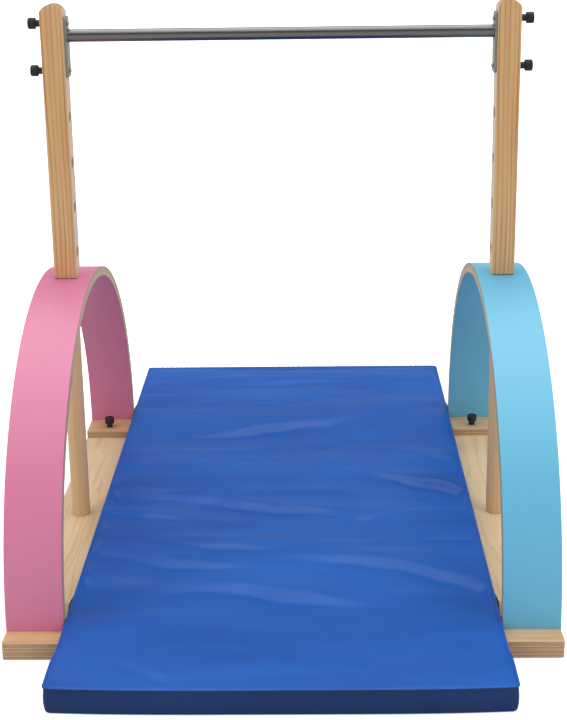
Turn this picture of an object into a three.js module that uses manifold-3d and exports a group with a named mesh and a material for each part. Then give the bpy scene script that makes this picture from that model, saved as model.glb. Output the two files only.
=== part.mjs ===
// A children's kip bar: a steel bar carried by two posts, each post standing in the crown of a
// bent-plywood arch on a narrow base board, with a landing mat between the two frames.
// Millimetres. +X is to the right, +Y to the rear, +Z up, and the floor is z = 0.
// The origin is on the floor, under the middle of the mat's length and midway between the frames.

import * as THREE from "three";
import { mergeVertices } from "three/addons/utils/BufferGeometryUtils.js";
import Module from "manifold-3d";

const wasm = await Module();
wasm.setup();

// Driving dimensions.

const GAP = 0.3; // left between two faces that touch on the real object
const ROUND_SEGMENTS = 12; // sides of small round pieces
const WIDE_SEGMENTS = 24; // sides of the bar, the columns and the large bores
const ARCH_SEGMENTS = 60; // chords round each face of an arch
const CORNER_SEGMENTS = 4; // chords round a rounded corner
const CROWN_SEGMENTS = 14; // chords over a post's crown
const CHORDS_PER_DIVISION = 2; // what an arc in a shape makes of each curve segment

const MAT_LENGTH = 2000;
const MAT_WIDTH = 1000;
const MAT_THICKNESS = 65;
const MAT_CORNER_RADIUS = 14;
const MAT_EDGE_RADIUS = 5;
const MAT_COVER_WALL = 1.2;
const MAT_ZIP_FROM_SIDE = 70; // mat side to the zip's end
const MAT_ZIP_OPENING = 5;
const MAT_SIDE_CLEARANCE = 5; // to each frame
const MAT_REARWARD = 68; // the mat's middle lies this far behind the posts

const HANDLE_LENGTH = 230;
const HANDLE_WIDTH = 30;
const HANDLE_THICKNESS = 1.8;
const HANDLE_FROM_MAT_END = 370; // mat end to the middle of a handle
const HANDLE_HEIGHT = 40; // floor to the middle of a handle

const FRAME_WIDTH = 134; // base boards, cleats and arches share it
const ARCH_OUTER_RADIUS = 664;
const ARCH_THICKNESS = 27;
const LAMINATE_THICKNESS = 1.2;

const BOARD_THICKNESS = 20;
const BOARD_OVERHANG = 55; // board and cleat end beyond the arch's outer face
const BOARD_CORNER_RADIUS = 5;
const CLEAT_THICKNESS = 20;
const CLEAT_LENGTH = 185;
const PAD_THICKNESS = 2;
const PAD_LENGTH = 130;
const PAD_INSET = 8;

const POST_SIDE = 59;
const POST_EDGE_RADIUS = 3;
const POST_CROWN_RISE = 19;
const SHOULDER_WIDTH = 4.5; // from the post's faces in to the round column
const COLUMN_CLEARANCE = 0.5; // radial, in the arch's bore

const HOLE_COUNT = 6;
const HOLE_PITCH = 119;
const LOWEST_HOLE_ABOVE_ARCH = 66;
const TOP_HOLE_BELOW_CROWN = 48;
const SOCKET_DIAMETER = 27;
const SOCKET_DEPTH = 8;

const BAR_DIAMETER = 32;
const BAR_WALL = 3;
const BAR_BELOW_TOP_HOLE = 32;
const PLATE_THICKNESS = 6;
const PLATE_WIDTH = 44;
const PLATE_BEYOND_HOLE = 16;
const PLATE_CORNER_RADIUS = 5;
const CAP_NUT_ACROSS_FLATS = 13;
const CAP_NUT_HEX_HEIGHT = 2.5;
const CAP_NUT_DOME_RADIUS = 5.6;
const CAP_NUT_DOME_RISE = 2.5;
const CAP_NUT_THREAD_DEPTH = 3;

const STUD_DIAMETER = 8;
const STUD_CLEARANCE = 0.5; // radial, in the holes it passes through
const KNOB_NECK_DIAMETER = 18.5;
const KNOB_NECK_HEIGHT = 12;
const KNOB_HEAD_DIAMETER = 29;
const KNOB_HEAD_HEIGHT = 20;
const KNOB_EDGE = 2.5; // bevel round the knob's top
const CLEAT_KNOB_FROM_LEG = 64; // arch's inner face to the knob's axis
const WASHER_DIAMETER = 24;
const WASHER_THICKNESS = 1.6;

const INSERT_DIAMETER = 12;
const INSERT_CLEARANCE = 0.3; // radial, round the stud
const INSERT_SHORTFALL = 3; // board's underside up to the insert

const FOOT_SCREW_DIAMETER = 5;
const FOOT_SCREW_HEAD_DIAMETER = 10;
const FOOT_SCREW_GRIP = 40; // length inside the arch's leg
const SCREW_TIP_ROOM = 2; // pilot hole beyond a screw's or bolt's tip
const POST_BOLT_DIAMETER = 8;
const POST_BOLT_HEAD_DIAMETER = 16;
const POST_BOLT_GRIP = 60; // length inside the column
const HEX_KEY_ACROSS_FLATS = 5;
const HEX_KEY_DEPTH = 2.5;

// Levels and places that follow from them.

const CUT = 1; // how far a cutting tool runs past the face it opens
const STUD_HOLE_DIAMETER = STUD_DIAMETER + 2 * STUD_CLEARANCE;
const INSERT_BORE = STUD_DIAMETER + 2 * INSERT_CLEARANCE;
const INSERT_LENGTH = BOARD_THICKNESS - INSERT_SHORTFALL;
const COLUMN_DIAMETER = POST_SIDE - 2 * SHOULDER_WIDTH;
const MAT_ZIP_LENGTH = MAT_WIDTH - 2 * MAT_ZIP_FROM_SIDE;
const BOARD_BOTTOM = PAD_THICKNESS + GAP;
const BOARD_TOP = BOARD_BOTTOM + BOARD_THICKNESS;
const CLEAT_BOTTOM = BOARD_TOP + GAP;
const CLEAT_TOP = CLEAT_BOTTOM + CLEAT_THICKNESS;
const ARCH_FOOT = CLEAT_TOP + GAP;
const ARCH_CROWN = ARCH_FOOT + ARCH_OUTER_RADIUS;
const ARCH_INNER_RADIUS = ARCH_OUTER_RADIUS - ARCH_THICKNESS;
const POST_SHOULDER = ARCH_CROWN + GAP;
const HOLE_LEVELS = Array.from(
  { length: HOLE_COUNT },
  (_, i) => ARCH_CROWN + LOWEST_HOLE_ABOVE_ARCH + i * HOLE_PITCH,
);
const TOP_HOLE = HOLE_LEVELS[HOLE_COUNT - 1];
const SECOND_HOLE = HOLE_LEVELS[HOLE_COUNT - 2];
const POST_CROWN = TOP_HOLE + TOP_HOLE_BELOW_CROWN;
const BOARD_LENGTH = 2 * (ARCH_OUTER_RADIUS + BOARD_OVERHANG);
const FRAME_CENTRE = MAT_WIDTH / 2 + MAT_SIDE_CLEARANCE + FRAME_WIDTH / 2;
const POST_INNER_FACE = FRAME_CENTRE - POST_SIDE / 2;
const PLATE_CENTRE = POST_INNER_FACE - GAP - PLATE_THICKNESS / 2;
const PLATE_INNER_FACE = PLATE_CENTRE - PLATE_THICKNESS / 2;
const CLEAT_CENTRE = BOARD_LENGTH / 2 - CLEAT_LENGTH / 2;
const CLEAT_KNOB_Y = ARCH_INNER_RADIUS - CLEAT_KNOB_FROM_LEG;
const LEG_MIDDLE_Y = ARCH_OUTER_RADIUS - ARCH_THICKNESS / 2;

// Finishes.

const finish = (color, roughness, metalness) =>
  new THREE.MeshStandardMaterial({ color, roughness, metalness });

const PLY = finish(0xc9a16c, 0.6, 0);
const PINK = finish(0xe2a3b3, 0.35, 0);
const SKY = finish(0x9fc4dc, 0.35, 0);
const STEEL = finish(0xb9bcc0, 0.3, 1);
const ZINC = finish(0xa9abad, 0.4, 1);
const BRASS = finish(0xb99a55, 0.4, 1);
const BLACK_PLASTIC = finish(0x17171a, 0.5, 0);
const RUBBER = finish(0x222222, 0.9, 0);
const MAT_BLUE = finish(0x1f5fae, 0.45, 0);
const FOAM = finish(0xd8d3c4, 0.95, 0);
const WEBBING = finish(0x141416, 0.85, 0);

// Solids.

function solidOf(geometry) {
  const bare = geometry.index ? geometry.toNonIndexed() : geometry.clone();
  bare.deleteAttribute("normal");
  bare.deleteAttribute("uv");
  const merged = mergeVertices(bare, 1e-4);
  return new wasm.Manifold(
    new wasm.Mesh({
      numProp: 3,
      vertProperties: merged.attributes.position.array,
      triVerts: new Uint32Array(merged.index.array),
    }),
  );
}

function geometryOf(solid) {
  const { vertProperties, triVerts } = solid.getMesh();
  const geometry = new THREE.BufferGeometry();
  geometry.setAttribute("position", new THREE.BufferAttribute(vertProperties, 3));
  geometry.setIndex(new THREE.BufferAttribute(triVerts, 1));
  geometry.computeVertexNormals();
  return geometry;
}

function cut(geometry, ...tools) {
  let solid = solidOf(geometry);
  for (const tool of tools) solid = solid.subtract(solidOf(tool));
  return geometryOf(solid);
}

function join(...geometries) {
  const [first, ...rest] = geometries.map(solidOf);
  return geometryOf(rest.reduce((sum, solid) => sum.add(solid), first));
}

// A round bar along Z between two levels.
function rod(diameter, low, high, segments = ROUND_SEGMENTS) {
  return new THREE.CylinderGeometry(diameter / 2, diameter / 2, high - low, segments)
    .rotateX(Math.PI / 2)
    .translate(0, 0, (low + high) / 2);
}

// The same along X.
function rodX(diameter, low, high, segments = ROUND_SEGMENTS) {
  return rod(diameter, low, high, segments).rotateY(Math.PI / 2);
}

// A solid turned about Z from half an outline of [radius, level] points, bottom to top.
function turned(outline, segments = ROUND_SEGMENTS) {
  const points = outline.map(([radius, level]) => new THREE.Vector2(radius, level));
  return new THREE.LatheGeometry(points, segments).rotateX(Math.PI / 2);
}

function ring(outer, bore, height) {
  return cut(rod(outer, 0, height), rod(bore, -CUT, height + CUT));
}

function roundedRectangle(width, length, radius) {
  const x = width / 2;
  const y = length / 2;
  const shape = new THREE.Shape();
  shape.moveTo(x, -y + radius);
  shape.lineTo(x, y - radius);
  shape.absarc(x - radius, y - radius, radius, 0, Math.PI / 2);
  shape.absarc(-x + radius, y - radius, radius, Math.PI / 2, Math.PI);
  shape.absarc(-x + radius, -y + radius, radius, Math.PI, 1.5 * Math.PI);
  shape.absarc(x - radius, -y + radius, radius, 1.5 * Math.PI, 2 * Math.PI);
  return shape;
}

// A flat slab lying on z = 0 with rounded upright corners.
function slab(width, length, thickness, cornerRadius) {
  return new THREE.ExtrudeGeometry(roundedRectangle(width, length, cornerRadius), {
    depth: thickness,
    bevelEnabled: false,
    curveSegments: CORNER_SEGMENTS / CHORDS_PER_DIVISION,
  });
}

// Base boards, cleats and anti-slip pads.

function countersink(headDiameter, shankDiameter, seat) {
  const depth = (headDiameter - shankDiameter) / 2;
  return turned([
    [0, seat - CUT],
    [headDiameter / 2 + GAP, seat - CUT],
    [headDiameter / 2 + GAP, seat + GAP],
    [shankDiameter / 2 + GAP, seat + depth + GAP],
    [0, seat + depth + GAP],
  ]);
}

function baseBoard() {
  const insertHoles = [-1, 1].map((end) =>
    rod(INSERT_DIAMETER + 2 * GAP, -CUT, BOARD_THICKNESS + CUT).translate(0, end * CLEAT_KNOB_Y, 0),
  );
  return cut(
    slab(FRAME_WIDTH, BOARD_LENGTH, BOARD_THICKNESS, BOARD_CORNER_RADIUS),
    rod(POST_BOLT_DIAMETER + 2 * GAP, -CUT, BOARD_THICKNESS + CUT),
    countersink(POST_BOLT_HEAD_DIAMETER, POST_BOLT_DIAMETER, 0),
    ...insertHoles,
  );
}

function cleat(end) {
  const legY = end * (LEG_MIDDLE_Y - CLEAT_CENTRE);
  const knobY = end * (CLEAT_KNOB_Y - CLEAT_CENTRE);
  return cut(
    slab(FRAME_WIDTH, CLEAT_LENGTH, CLEAT_THICKNESS, BOARD_CORNER_RADIUS),
    rod(STUD_HOLE_DIAMETER, -CUT, CLEAT_THICKNESS + CUT).translate(0, knobY, 0),
    rod(FOOT_SCREW_DIAMETER + 2 * GAP, -CUT, CLEAT_THICKNESS + CUT).translate(0, legY, 0),
    countersink(FOOT_SCREW_HEAD_DIAMETER, FOOT_SCREW_DIAMETER, 0).translate(0, legY, 0),
  );
}

function pad() {
  const width = FRAME_WIDTH - 2 * PAD_INSET;
  return slab(width, PAD_LENGTH, PAD_THICKNESS, BOARD_CORNER_RADIUS);
}

// The arch: a plywood core with a coloured laminate on its outer and its inner face.

function archLayer(outerRadius, innerRadius) {
  const section = new THREE.Shape();
  section.absarc(0, 0, outerRadius, 0, Math.PI, false);
  section.absarc(0, 0, innerRadius, Math.PI, 0, true);
  const layer = new THREE.ExtrudeGeometry(section, {
    depth: FRAME_WIDTH,
    bevelEnabled: false,
    curveSegments: ARCH_SEGMENTS / CHORDS_PER_DIVISION,
  });
  const sectionToFrame = new THREE.Matrix4().makeBasis(
    new THREE.Vector3(0, 1, 0),
    new THREE.Vector3(0, 0, 1),
    new THREE.Vector3(1, 0, 0),
  );
  layer.applyMatrix4(sectionToFrame).translate(-FRAME_WIDTH / 2, 0, 0);
  const bore = COLUMN_DIAMETER + 2 * COLUMN_CLEARANCE;
  return [layer, rod(bore, innerRadius - ARCH_THICKNESS, outerRadius + CUT, WIDE_SEGMENTS)];
}

function archCore() {
  const skin = LAMINATE_THICKNESS + GAP;
  const pilotDepth = FOOT_SCREW_GRIP + SCREW_TIP_ROOM;
  const pilotHoles = [-1, 1].map((end) =>
    rod(FOOT_SCREW_DIAMETER + 2 * GAP, -CUT, pilotDepth).translate(0, end * LEG_MIDDLE_Y, 0),
  );
  return cut(...archLayer(ARCH_OUTER_RADIUS - skin, ARCH_INNER_RADIUS + skin), ...pilotHoles);
}

function archOuterLaminate() {
  return cut(...archLayer(ARCH_OUTER_RADIUS, ARCH_OUTER_RADIUS - LAMINATE_THICKNESS));
}

function archInnerLaminate() {
  return cut(...archLayer(ARCH_INNER_RADIUS + LAMINATE_THICKNESS, ARCH_INNER_RADIUS));
}

// The post: square and crowned above the arch, a round column through it and below it.

function post(side) {
  const halfSide = POST_SIDE / 2;
  const crownRadius = (POST_CROWN_RISE ** 2 + halfSide ** 2) / (2 * POST_CROWN_RISE);
  const crownCentre = POST_CROWN - crownRadius;
  const spring = Math.asin((crownRadius - POST_CROWN_RISE) / crownRadius);
  const front = new THREE.Shape();
  front.moveTo(-halfSide, POST_SHOULDER);
  front.lineTo(halfSide, POST_SHOULDER);
  front.absarc(0, crownCentre, crownRadius, spring, Math.PI - spring, false);
  const square = new THREE.ExtrudeGeometry(front, {
    depth: POST_SIDE - 2 * POST_EDGE_RADIUS,
    bevelThickness: POST_EDGE_RADIUS,
    bevelSize: POST_EDGE_RADIUS,
    bevelOffset: -POST_EDGE_RADIUS,
    bevelSegments: 2,
    curveSegments: CROWN_SEGMENTS / CHORDS_PER_DIVISION,
  });
  square.rotateX(Math.PI / 2).translate(0, halfSide - POST_EDGE_RADIUS, 0);
  const column = rod(COLUMN_DIAMETER, BOARD_TOP + GAP, POST_SHOULDER + COLUMN_DIAMETER / 2, WIDE_SEGMENTS);
  const innerFace = -side * halfSide;
  const holes = HOLE_LEVELS.flatMap((level) => [
    rodX(STUD_HOLE_DIAMETER, -halfSide - CUT, halfSide + CUT).translate(0, 0, level),
    rodX(SOCKET_DIAMETER, -SOCKET_DEPTH, SOCKET_DEPTH, WIDE_SEGMENTS).translate(innerFace, 0, level),
  ]);
  const boltHoleTop = BOARD_TOP + GAP + POST_BOLT_GRIP + SCREW_TIP_ROOM;
  const boltHole = rod(POST_BOLT_DIAMETER + 2 * GAP, BOARD_TOP - CUT, boltHoleTop);
  return cut(join(square, column), boltHole, ...holes);
}

// Screws, bolts and threaded inserts, upright and pointing up from z = 0.

function countersunkScrew(headDiameter, shankDiameter, length) {
  const slope = (headDiameter - shankDiameter) / 2;
  const screw = turned([
    [0, 0],
    [headDiameter / 2, 0],
    [headDiameter / 2, GAP],
    [shankDiameter / 2, GAP + slope],
    [shankDiameter / 2, length - shankDiameter],
    [0, length],
  ]);
  const keyRadius = HEX_KEY_ACROSS_FLATS / Math.sqrt(3);
  const key = rod(2 * keyRadius, -CUT, HEX_KEY_DEPTH, 6);
  return cut(screw, key);
}

function capNut() {
  const hexDiameter = (2 * CAP_NUT_ACROSS_FLATS) / Math.sqrt(3);
  const dome = new THREE.SphereGeometry(CAP_NUT_DOME_RADIUS, ROUND_SEGMENTS, 6)
    .rotateX(Math.PI / 2)
    .scale(1, 1, CAP_NUT_DOME_RISE / CAP_NUT_DOME_RADIUS)
    .translate(0, 0, CAP_NUT_HEX_HEIGHT);
  const thread = rod(STUD_DIAMETER + GAP, -CUT, CAP_NUT_THREAD_DEPTH);
  const aboveBase = rod(2 * hexDiameter, 0, CAP_NUT_HEX_HEIGHT + CAP_NUT_DOME_RISE + CUT, 6);
  const whole = join(rod(hexDiameter, 0, CAP_NUT_HEX_HEIGHT, 6), dome);
  return cut(geometryOf(solidOf(whole).intersect(solidOf(aboveBase))), thread);
}

// Clamp knobs: a plastic head and neck on a steel stud, standing on z = 0 with the stud below.

function knob(studLength) {
  const head = KNOB_NECK_HEIGHT;
  const top = head + KNOB_HEAD_HEIGHT;
  const stud = STUD_DIAMETER / 2;
  const rim = KNOB_HEAD_DIAMETER / 2;
  return turned([
    [0, -studLength],
    [stud, -studLength],
    [stud, 0],
    [KNOB_NECK_DIAMETER / 2, 0],
    [KNOB_NECK_DIAMETER / 2, head],
    [rim, head],
    [rim, top - KNOB_EDGE],
    [rim - KNOB_EDGE, top],
    [0, top],
  ]);
}

// The bar and its end plates.

function barTube() {
  const half = PLATE_INNER_FACE - GAP;
  return cut(
    rodX(BAR_DIAMETER, -half, half, WIDE_SEGMENTS),
    rodX(BAR_DIAMETER - 2 * BAR_WALL, -half - CUT, half + CUT, WIDE_SEGMENTS),
  );
}

function barPlate() {
  const low = SECOND_HOLE - PLATE_BEYOND_HOLE;
  const high = TOP_HOLE + PLATE_BEYOND_HOLE;
  const plate = slab(high - low, PLATE_WIDTH, PLATE_THICKNESS, PLATE_CORNER_RADIUS)
    .translate(0, 0, -PLATE_THICKNESS / 2)
    .rotateY(Math.PI / 2)
    .translate(0, 0, (low + high) / 2);
  const holes = [SECOND_HOLE, TOP_HOLE].map((level) =>
    rodX(STUD_HOLE_DIAMETER, -PLATE_THICKNESS, PLATE_THICKNESS).translate(0, 0, level),
  );
  return cut(plate, ...holes);
}

// The mat: a foam slab in a cover that opens along a zip at its rear end, and four carrying handles.

function matCover() {
  const outline = roundedRectangle(MAT_WIDTH, MAT_LENGTH, MAT_CORNER_RADIUS);
  const outside = new THREE.ExtrudeGeometry(outline, {
    depth: MAT_THICKNESS - 2 * MAT_EDGE_RADIUS,
    bevelThickness: MAT_EDGE_RADIUS,
    bevelSize: MAT_EDGE_RADIUS,
    bevelOffset: -MAT_EDGE_RADIUS,
    bevelSegments: 2,
    curveSegments: CORNER_SEGMENTS / CHORDS_PER_DIVISION,
  }).translate(0, 0, MAT_EDGE_RADIUS);
  const zip = new THREE.BoxGeometry(MAT_ZIP_LENGTH, 4 * MAT_EDGE_RADIUS, MAT_ZIP_OPENING).translate(
    0,
    MAT_LENGTH / 2,
    MAT_THICKNESS / 2,
  );
  return cut(outside, matFilling(MAT_COVER_WALL), zip);
}

// What lies inside the cover, set in from the mat's outside by the same amount all round.
function matFilling(inset) {
  const thickness = MAT_THICKNESS - 2 * inset;
  const edge = MAT_EDGE_RADIUS;
  return slab(MAT_WIDTH - 2 * inset - edge, MAT_LENGTH - 2 * inset - edge, thickness, MAT_CORNER_RADIUS)
    .translate(0, 0, inset);
}

function handle() {
  return new THREE.BoxGeometry(HANDLE_THICKNESS, HANDLE_LENGTH, HANDLE_WIDTH);
}

// Assembly.

const kipBar = new THREE.Group();

function place(parent, name, geometry, material, x, y, z) {
  const mesh = new THREE.Mesh(geometry, material);
  mesh.name = name;
  mesh.position.set(x, y, z);
  parent.add(mesh);
  return mesh;
}

// A knob, its washer and, where it has one, the threaded piece it turns in. The group's +Z is the
// way the knob points, and its z = 0 is the face that the washer seats on.
function clampKnob(parent, name, studEnd) {
  const group = new THREE.Group();
  const seat = GAP + WASHER_THICKNESS + GAP;
  const washer = ring(WASHER_DIAMETER, STUD_HOLE_DIAMETER, WASHER_THICKNESS);
  place(group, `${name}_washer`, washer, ZINC, 0, 0, GAP);
  place(group, name, knob(studEnd + seat), BLACK_PLASTIC, 0, 0, seat);
  parent.add(group);
  return group;
}

function sideFrame(sideName, side, colour) {
  const frame = new THREE.Group();
  frame.position.set(side * FRAME_CENTRE, -MAT_REARWARD, 0);
  const add = (name, geometry, material, x, y, z) =>
    place(frame, `${sideName}_${name}`, geometry, material, x, y, z);

  add("base_board", baseBoard(), PLY, 0, 0, BOARD_BOTTOM);
  add("arch_core", archCore(), PLY, 0, 0, ARCH_FOOT);
  add("arch_outer_laminate", archOuterLaminate(), colour, 0, 0, ARCH_FOOT);
  add("arch_inner_laminate", archInnerLaminate(), colour, 0, 0, ARCH_FOOT);
  add("post", post(side), PLY, 0, 0, 0);

  const boltLength = BOARD_THICKNESS + GAP + POST_BOLT_GRIP;
  const bolt = countersunkScrew(POST_BOLT_HEAD_DIAMETER, POST_BOLT_DIAMETER, boltLength);
  add("post_bolt", bolt, ZINC, 0, 0, BOARD_BOTTOM);

  for (const [endName, end] of [["front", -1], ["rear", 1]]) {
    add(`${endName}_cleat`, cleat(end), PLY, 0, end * CLEAT_CENTRE, CLEAT_BOTTOM);
    const padY = end * (BOARD_LENGTH / 2 - PAD_INSET - PAD_LENGTH / 2);
    add(`${endName}_pad`, pad(), RUBBER, 0, padY, 0);
    const screw = countersunkScrew(
      FOOT_SCREW_HEAD_DIAMETER,
      FOOT_SCREW_DIAMETER,
      CLEAT_THICKNESS + GAP + FOOT_SCREW_GRIP,
    );
    add(`${endName}_foot_screw`, screw, ZINC, 0, end * LEG_MIDDLE_Y, CLEAT_BOTTOM);
    const insert = ring(INSERT_DIAMETER, INSERT_BORE, INSERT_LENGTH);
    add(`${endName}_cleat_insert`, insert, BRASS, 0, end * CLEAT_KNOB_Y, BOARD_TOP - INSERT_LENGTH);
    const studEnd = CLEAT_THICKNESS + GAP + INSERT_LENGTH;
    const cleatKnob = clampKnob(frame, `${sideName}_${endName}_cleat_knob`, studEnd);
    cleatKnob.position.set(0, end * CLEAT_KNOB_Y, CLEAT_TOP);
  }

  for (const [levelName, level] of [["upper", TOP_HOLE], ["lower", SECOND_HOLE]]) {
    const barKnob = clampKnob(frame, `${sideName}_${levelName}_bar_knob`, POST_SIDE);
    barKnob.rotation.y = (side * Math.PI) / 2;
    barKnob.position.set((side * POST_SIDE) / 2, 0, level);
  }
  return frame;
}

function bar() {
  const group = new THREE.Group();
  group.position.y = -MAT_REARWARD;
  place(group, "bar_tube", barTube(), STEEL, 0, 0, TOP_HOLE - BAR_BELOW_TOP_HOLE);
  for (const [sideName, side] of [["left", -1], ["right", 1]]) {
    place(group, `${sideName}_bar_plate`, barPlate(), STEEL, side * PLATE_CENTRE, 0, 0);
    for (const [levelName, level] of [["upper", TOP_HOLE], ["lower", SECOND_HOLE]]) {
      const nutX = side * (PLATE_INNER_FACE - GAP);
      const nut = place(group, `${sideName}_${levelName}_cap_nut`, capNut(), ZINC, nutX, 0, level);
      nut.rotation.y = (-side * Math.PI) / 2;
    }
  }
  return group;
}

function mat() {
  const group = new THREE.Group();
  place(group, "mat_cover", matCover(), MAT_BLUE, 0, 0, 0);
  place(group, "mat_foam", matFilling(MAT_COVER_WALL + GAP), FOAM, 0, 0, 0);
  const handleX = MAT_WIDTH / 2 + GAP + HANDLE_THICKNESS / 2;
  const handleY = MAT_LENGTH / 2 - HANDLE_FROM_MAT_END;
  for (const [sideName, side] of [["left", -1], ["right", 1]])
    for (const [endName, end] of [["front", -1], ["rear", 1]]) {
      const name = `${sideName}_${endName}_mat_handle`;
      place(group, name, handle(), WEBBING, side * handleX, end * handleY, HANDLE_HEIGHT);
    }
  return group;
}

kipBar.add(sideFrame("left", -1, PINK), sideFrame("right", 1, SKY), bar(), mat());

export default kipBar;
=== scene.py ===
"""A children's kip bar: two bent-plywood frames, a steel bar between their posts and a landing mat.

Everything is in metres in the frame's own axes: +X right, +Y to the rear, +Z up, floor at z = 0.
"""

import math
from itertools import product

import bpy
import numpy as np
from mathutils import Matrix, Vector, noise


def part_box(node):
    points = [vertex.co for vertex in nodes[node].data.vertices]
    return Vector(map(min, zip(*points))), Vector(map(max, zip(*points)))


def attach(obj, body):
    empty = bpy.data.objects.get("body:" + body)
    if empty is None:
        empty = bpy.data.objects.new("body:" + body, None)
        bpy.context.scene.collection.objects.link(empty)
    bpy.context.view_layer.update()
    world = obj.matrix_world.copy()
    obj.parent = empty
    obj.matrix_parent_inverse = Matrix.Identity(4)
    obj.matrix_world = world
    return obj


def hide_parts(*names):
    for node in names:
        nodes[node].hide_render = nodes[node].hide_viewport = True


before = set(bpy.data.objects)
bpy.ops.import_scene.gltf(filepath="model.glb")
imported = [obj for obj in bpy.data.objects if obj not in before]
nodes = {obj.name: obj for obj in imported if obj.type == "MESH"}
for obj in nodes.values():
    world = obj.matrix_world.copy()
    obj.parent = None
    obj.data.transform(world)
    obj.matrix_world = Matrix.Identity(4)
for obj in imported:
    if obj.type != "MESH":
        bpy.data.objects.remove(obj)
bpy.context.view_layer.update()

SIDES = (("left", -1), ("right", 1))
ENDS = (("front", -1), ("rear", 1))
LEVELS = ("upper", "lower")

# Camera and light.

CAMERA_PLACE = Vector((0.0806, -3.5848, 1.7109))
CAMERA_YAW = math.radians(1.0149)
CAMERA_DOWN = math.radians(15.453)
CAMERA_ROLL = math.radians(-0.7843)
CAMERA_LENS = 69.379
CAMERA_SHIFT = (-0.010075, -0.13609)

LEFT_FROM = Vector((-2.2, -1.2, 1.7))
LEFT_STRENGTH = 0.7
RIGHT_FROM = Vector((2.2, -1.5, 1.7))
RIGHT_STRENGTH = 0.8
SIDE_ANGLE = math.radians(28)
REAR_FROM = Vector((0.0, 1.0, 2.4))
REAR_STRENGTH = 0.65
REAR_ANGLE = math.radians(44)
FLOOR_REACH = 60.0
FLOOR_GLOW = 0.55
# The room's brightness by the height of the view into it, from the horizon (0) to overhead (1).
ROOM = ((0.0, 0.62), (0.2, 0.6), (0.34, 0.4), (0.46, 0.05), (0.72, 0.08), (0.84, 1.7), (1.0, 1.8))


def link(name, data):
    """A new object in the scene."""
    made = bpy.data.objects.new(name, data)
    bpy.context.scene.collection.objects.link(made)
    return made


def make_camera():
    data = bpy.data.cameras.new("camera")
    data.lens = CAMERA_LENS
    data.shift_x, data.shift_y = CAMERA_SHIFT
    data.clip_end = 4 * FLOOR_REACH
    sin, cos = math.sin, math.cos
    ahead = Vector((
        -sin(CAMERA_YAW) * cos(CAMERA_DOWN),
        cos(CAMERA_YAW) * cos(CAMERA_DOWN),
        -sin(CAMERA_DOWN),
    ))
    level = Vector((cos(CAMERA_YAW), sin(CAMERA_YAW), 0))
    upward = level.cross(ahead)
    right = level * cos(CAMERA_ROLL) + upward * sin(CAMERA_ROLL)
    up = upward * cos(CAMERA_ROLL) - level * sin(CAMERA_ROLL)
    camera = link("camera", data)
    turn = Matrix((right, up, -ahead)).transposed()
    camera.matrix_world = Matrix.Translation(CAMERA_PLACE) @ turn.to_4x4()
    bpy.context.scene.camera = camera


def make_sun(name, towards_it, strength, angle):
    data = bpy.data.lights.new(name, "SUN")
    data.energy = strength
    data.angle = angle
    link(name, data).rotation_euler = towards_it.to_track_quat("Z", "Y").to_euler()


def set_stops(node, stops):
    """Gives a ramp node its stops: a position with a colour, or with one number for a grey."""
    elements = node.color_ramp.elements
    elements.remove(elements[1])
    for index, (position, value) in enumerate(stops):
        element = elements[0] if index == 0 else elements.new(position)
        element.position = position
        element.color = value if isinstance(value, tuple) else (value, value, value, 1)


def make_world():
    """White to the camera; otherwise a room that is bright overhead and dim at the horizon."""
    world = bpy.data.worlds.new("studio")
    world.use_nodes = True
    tree = world.node_tree
    background = tree.nodes["Background"]
    place = tree.nodes.new("ShaderNodeTexCoord")
    height = tree.nodes.new("ShaderNodeSeparateXYZ")
    tree.links.new(place.outputs["Generated"], height.inputs[0])
    room = tree.nodes.new("ShaderNodeValToRGB")
    set_stops(room, ROOM)
    tree.links.new(height.outputs["Z"], room.inputs[0])
    ray = tree.nodes.new("ShaderNodeLightPath")
    choice = tree.nodes.new("ShaderNodeMix")
    choice.data_type = "RGBA"
    tree.links.new(ray.outputs["Is Camera Ray"], choice.inputs[0])
    tree.links.new(room.outputs["Color"], choice.inputs[6])
    choice.inputs[7].default_value = (1, 1, 1, 1)
    tree.links.new(choice.outputs[2], background.inputs["Color"])
    bpy.context.scene.world = world


# Materials.


def srgb(red, green, blue):
    """A display colour, 0 to 255 a channel, as the linear colour that a shader takes."""
    channels = [c / 255 for c in (red, green, blue)]
    linear = [c / 12.92 if c <= 0.04045 else ((c + 0.055) / 1.055) ** 2.4 for c in channels]
    return (*linear, 1.0)


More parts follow.
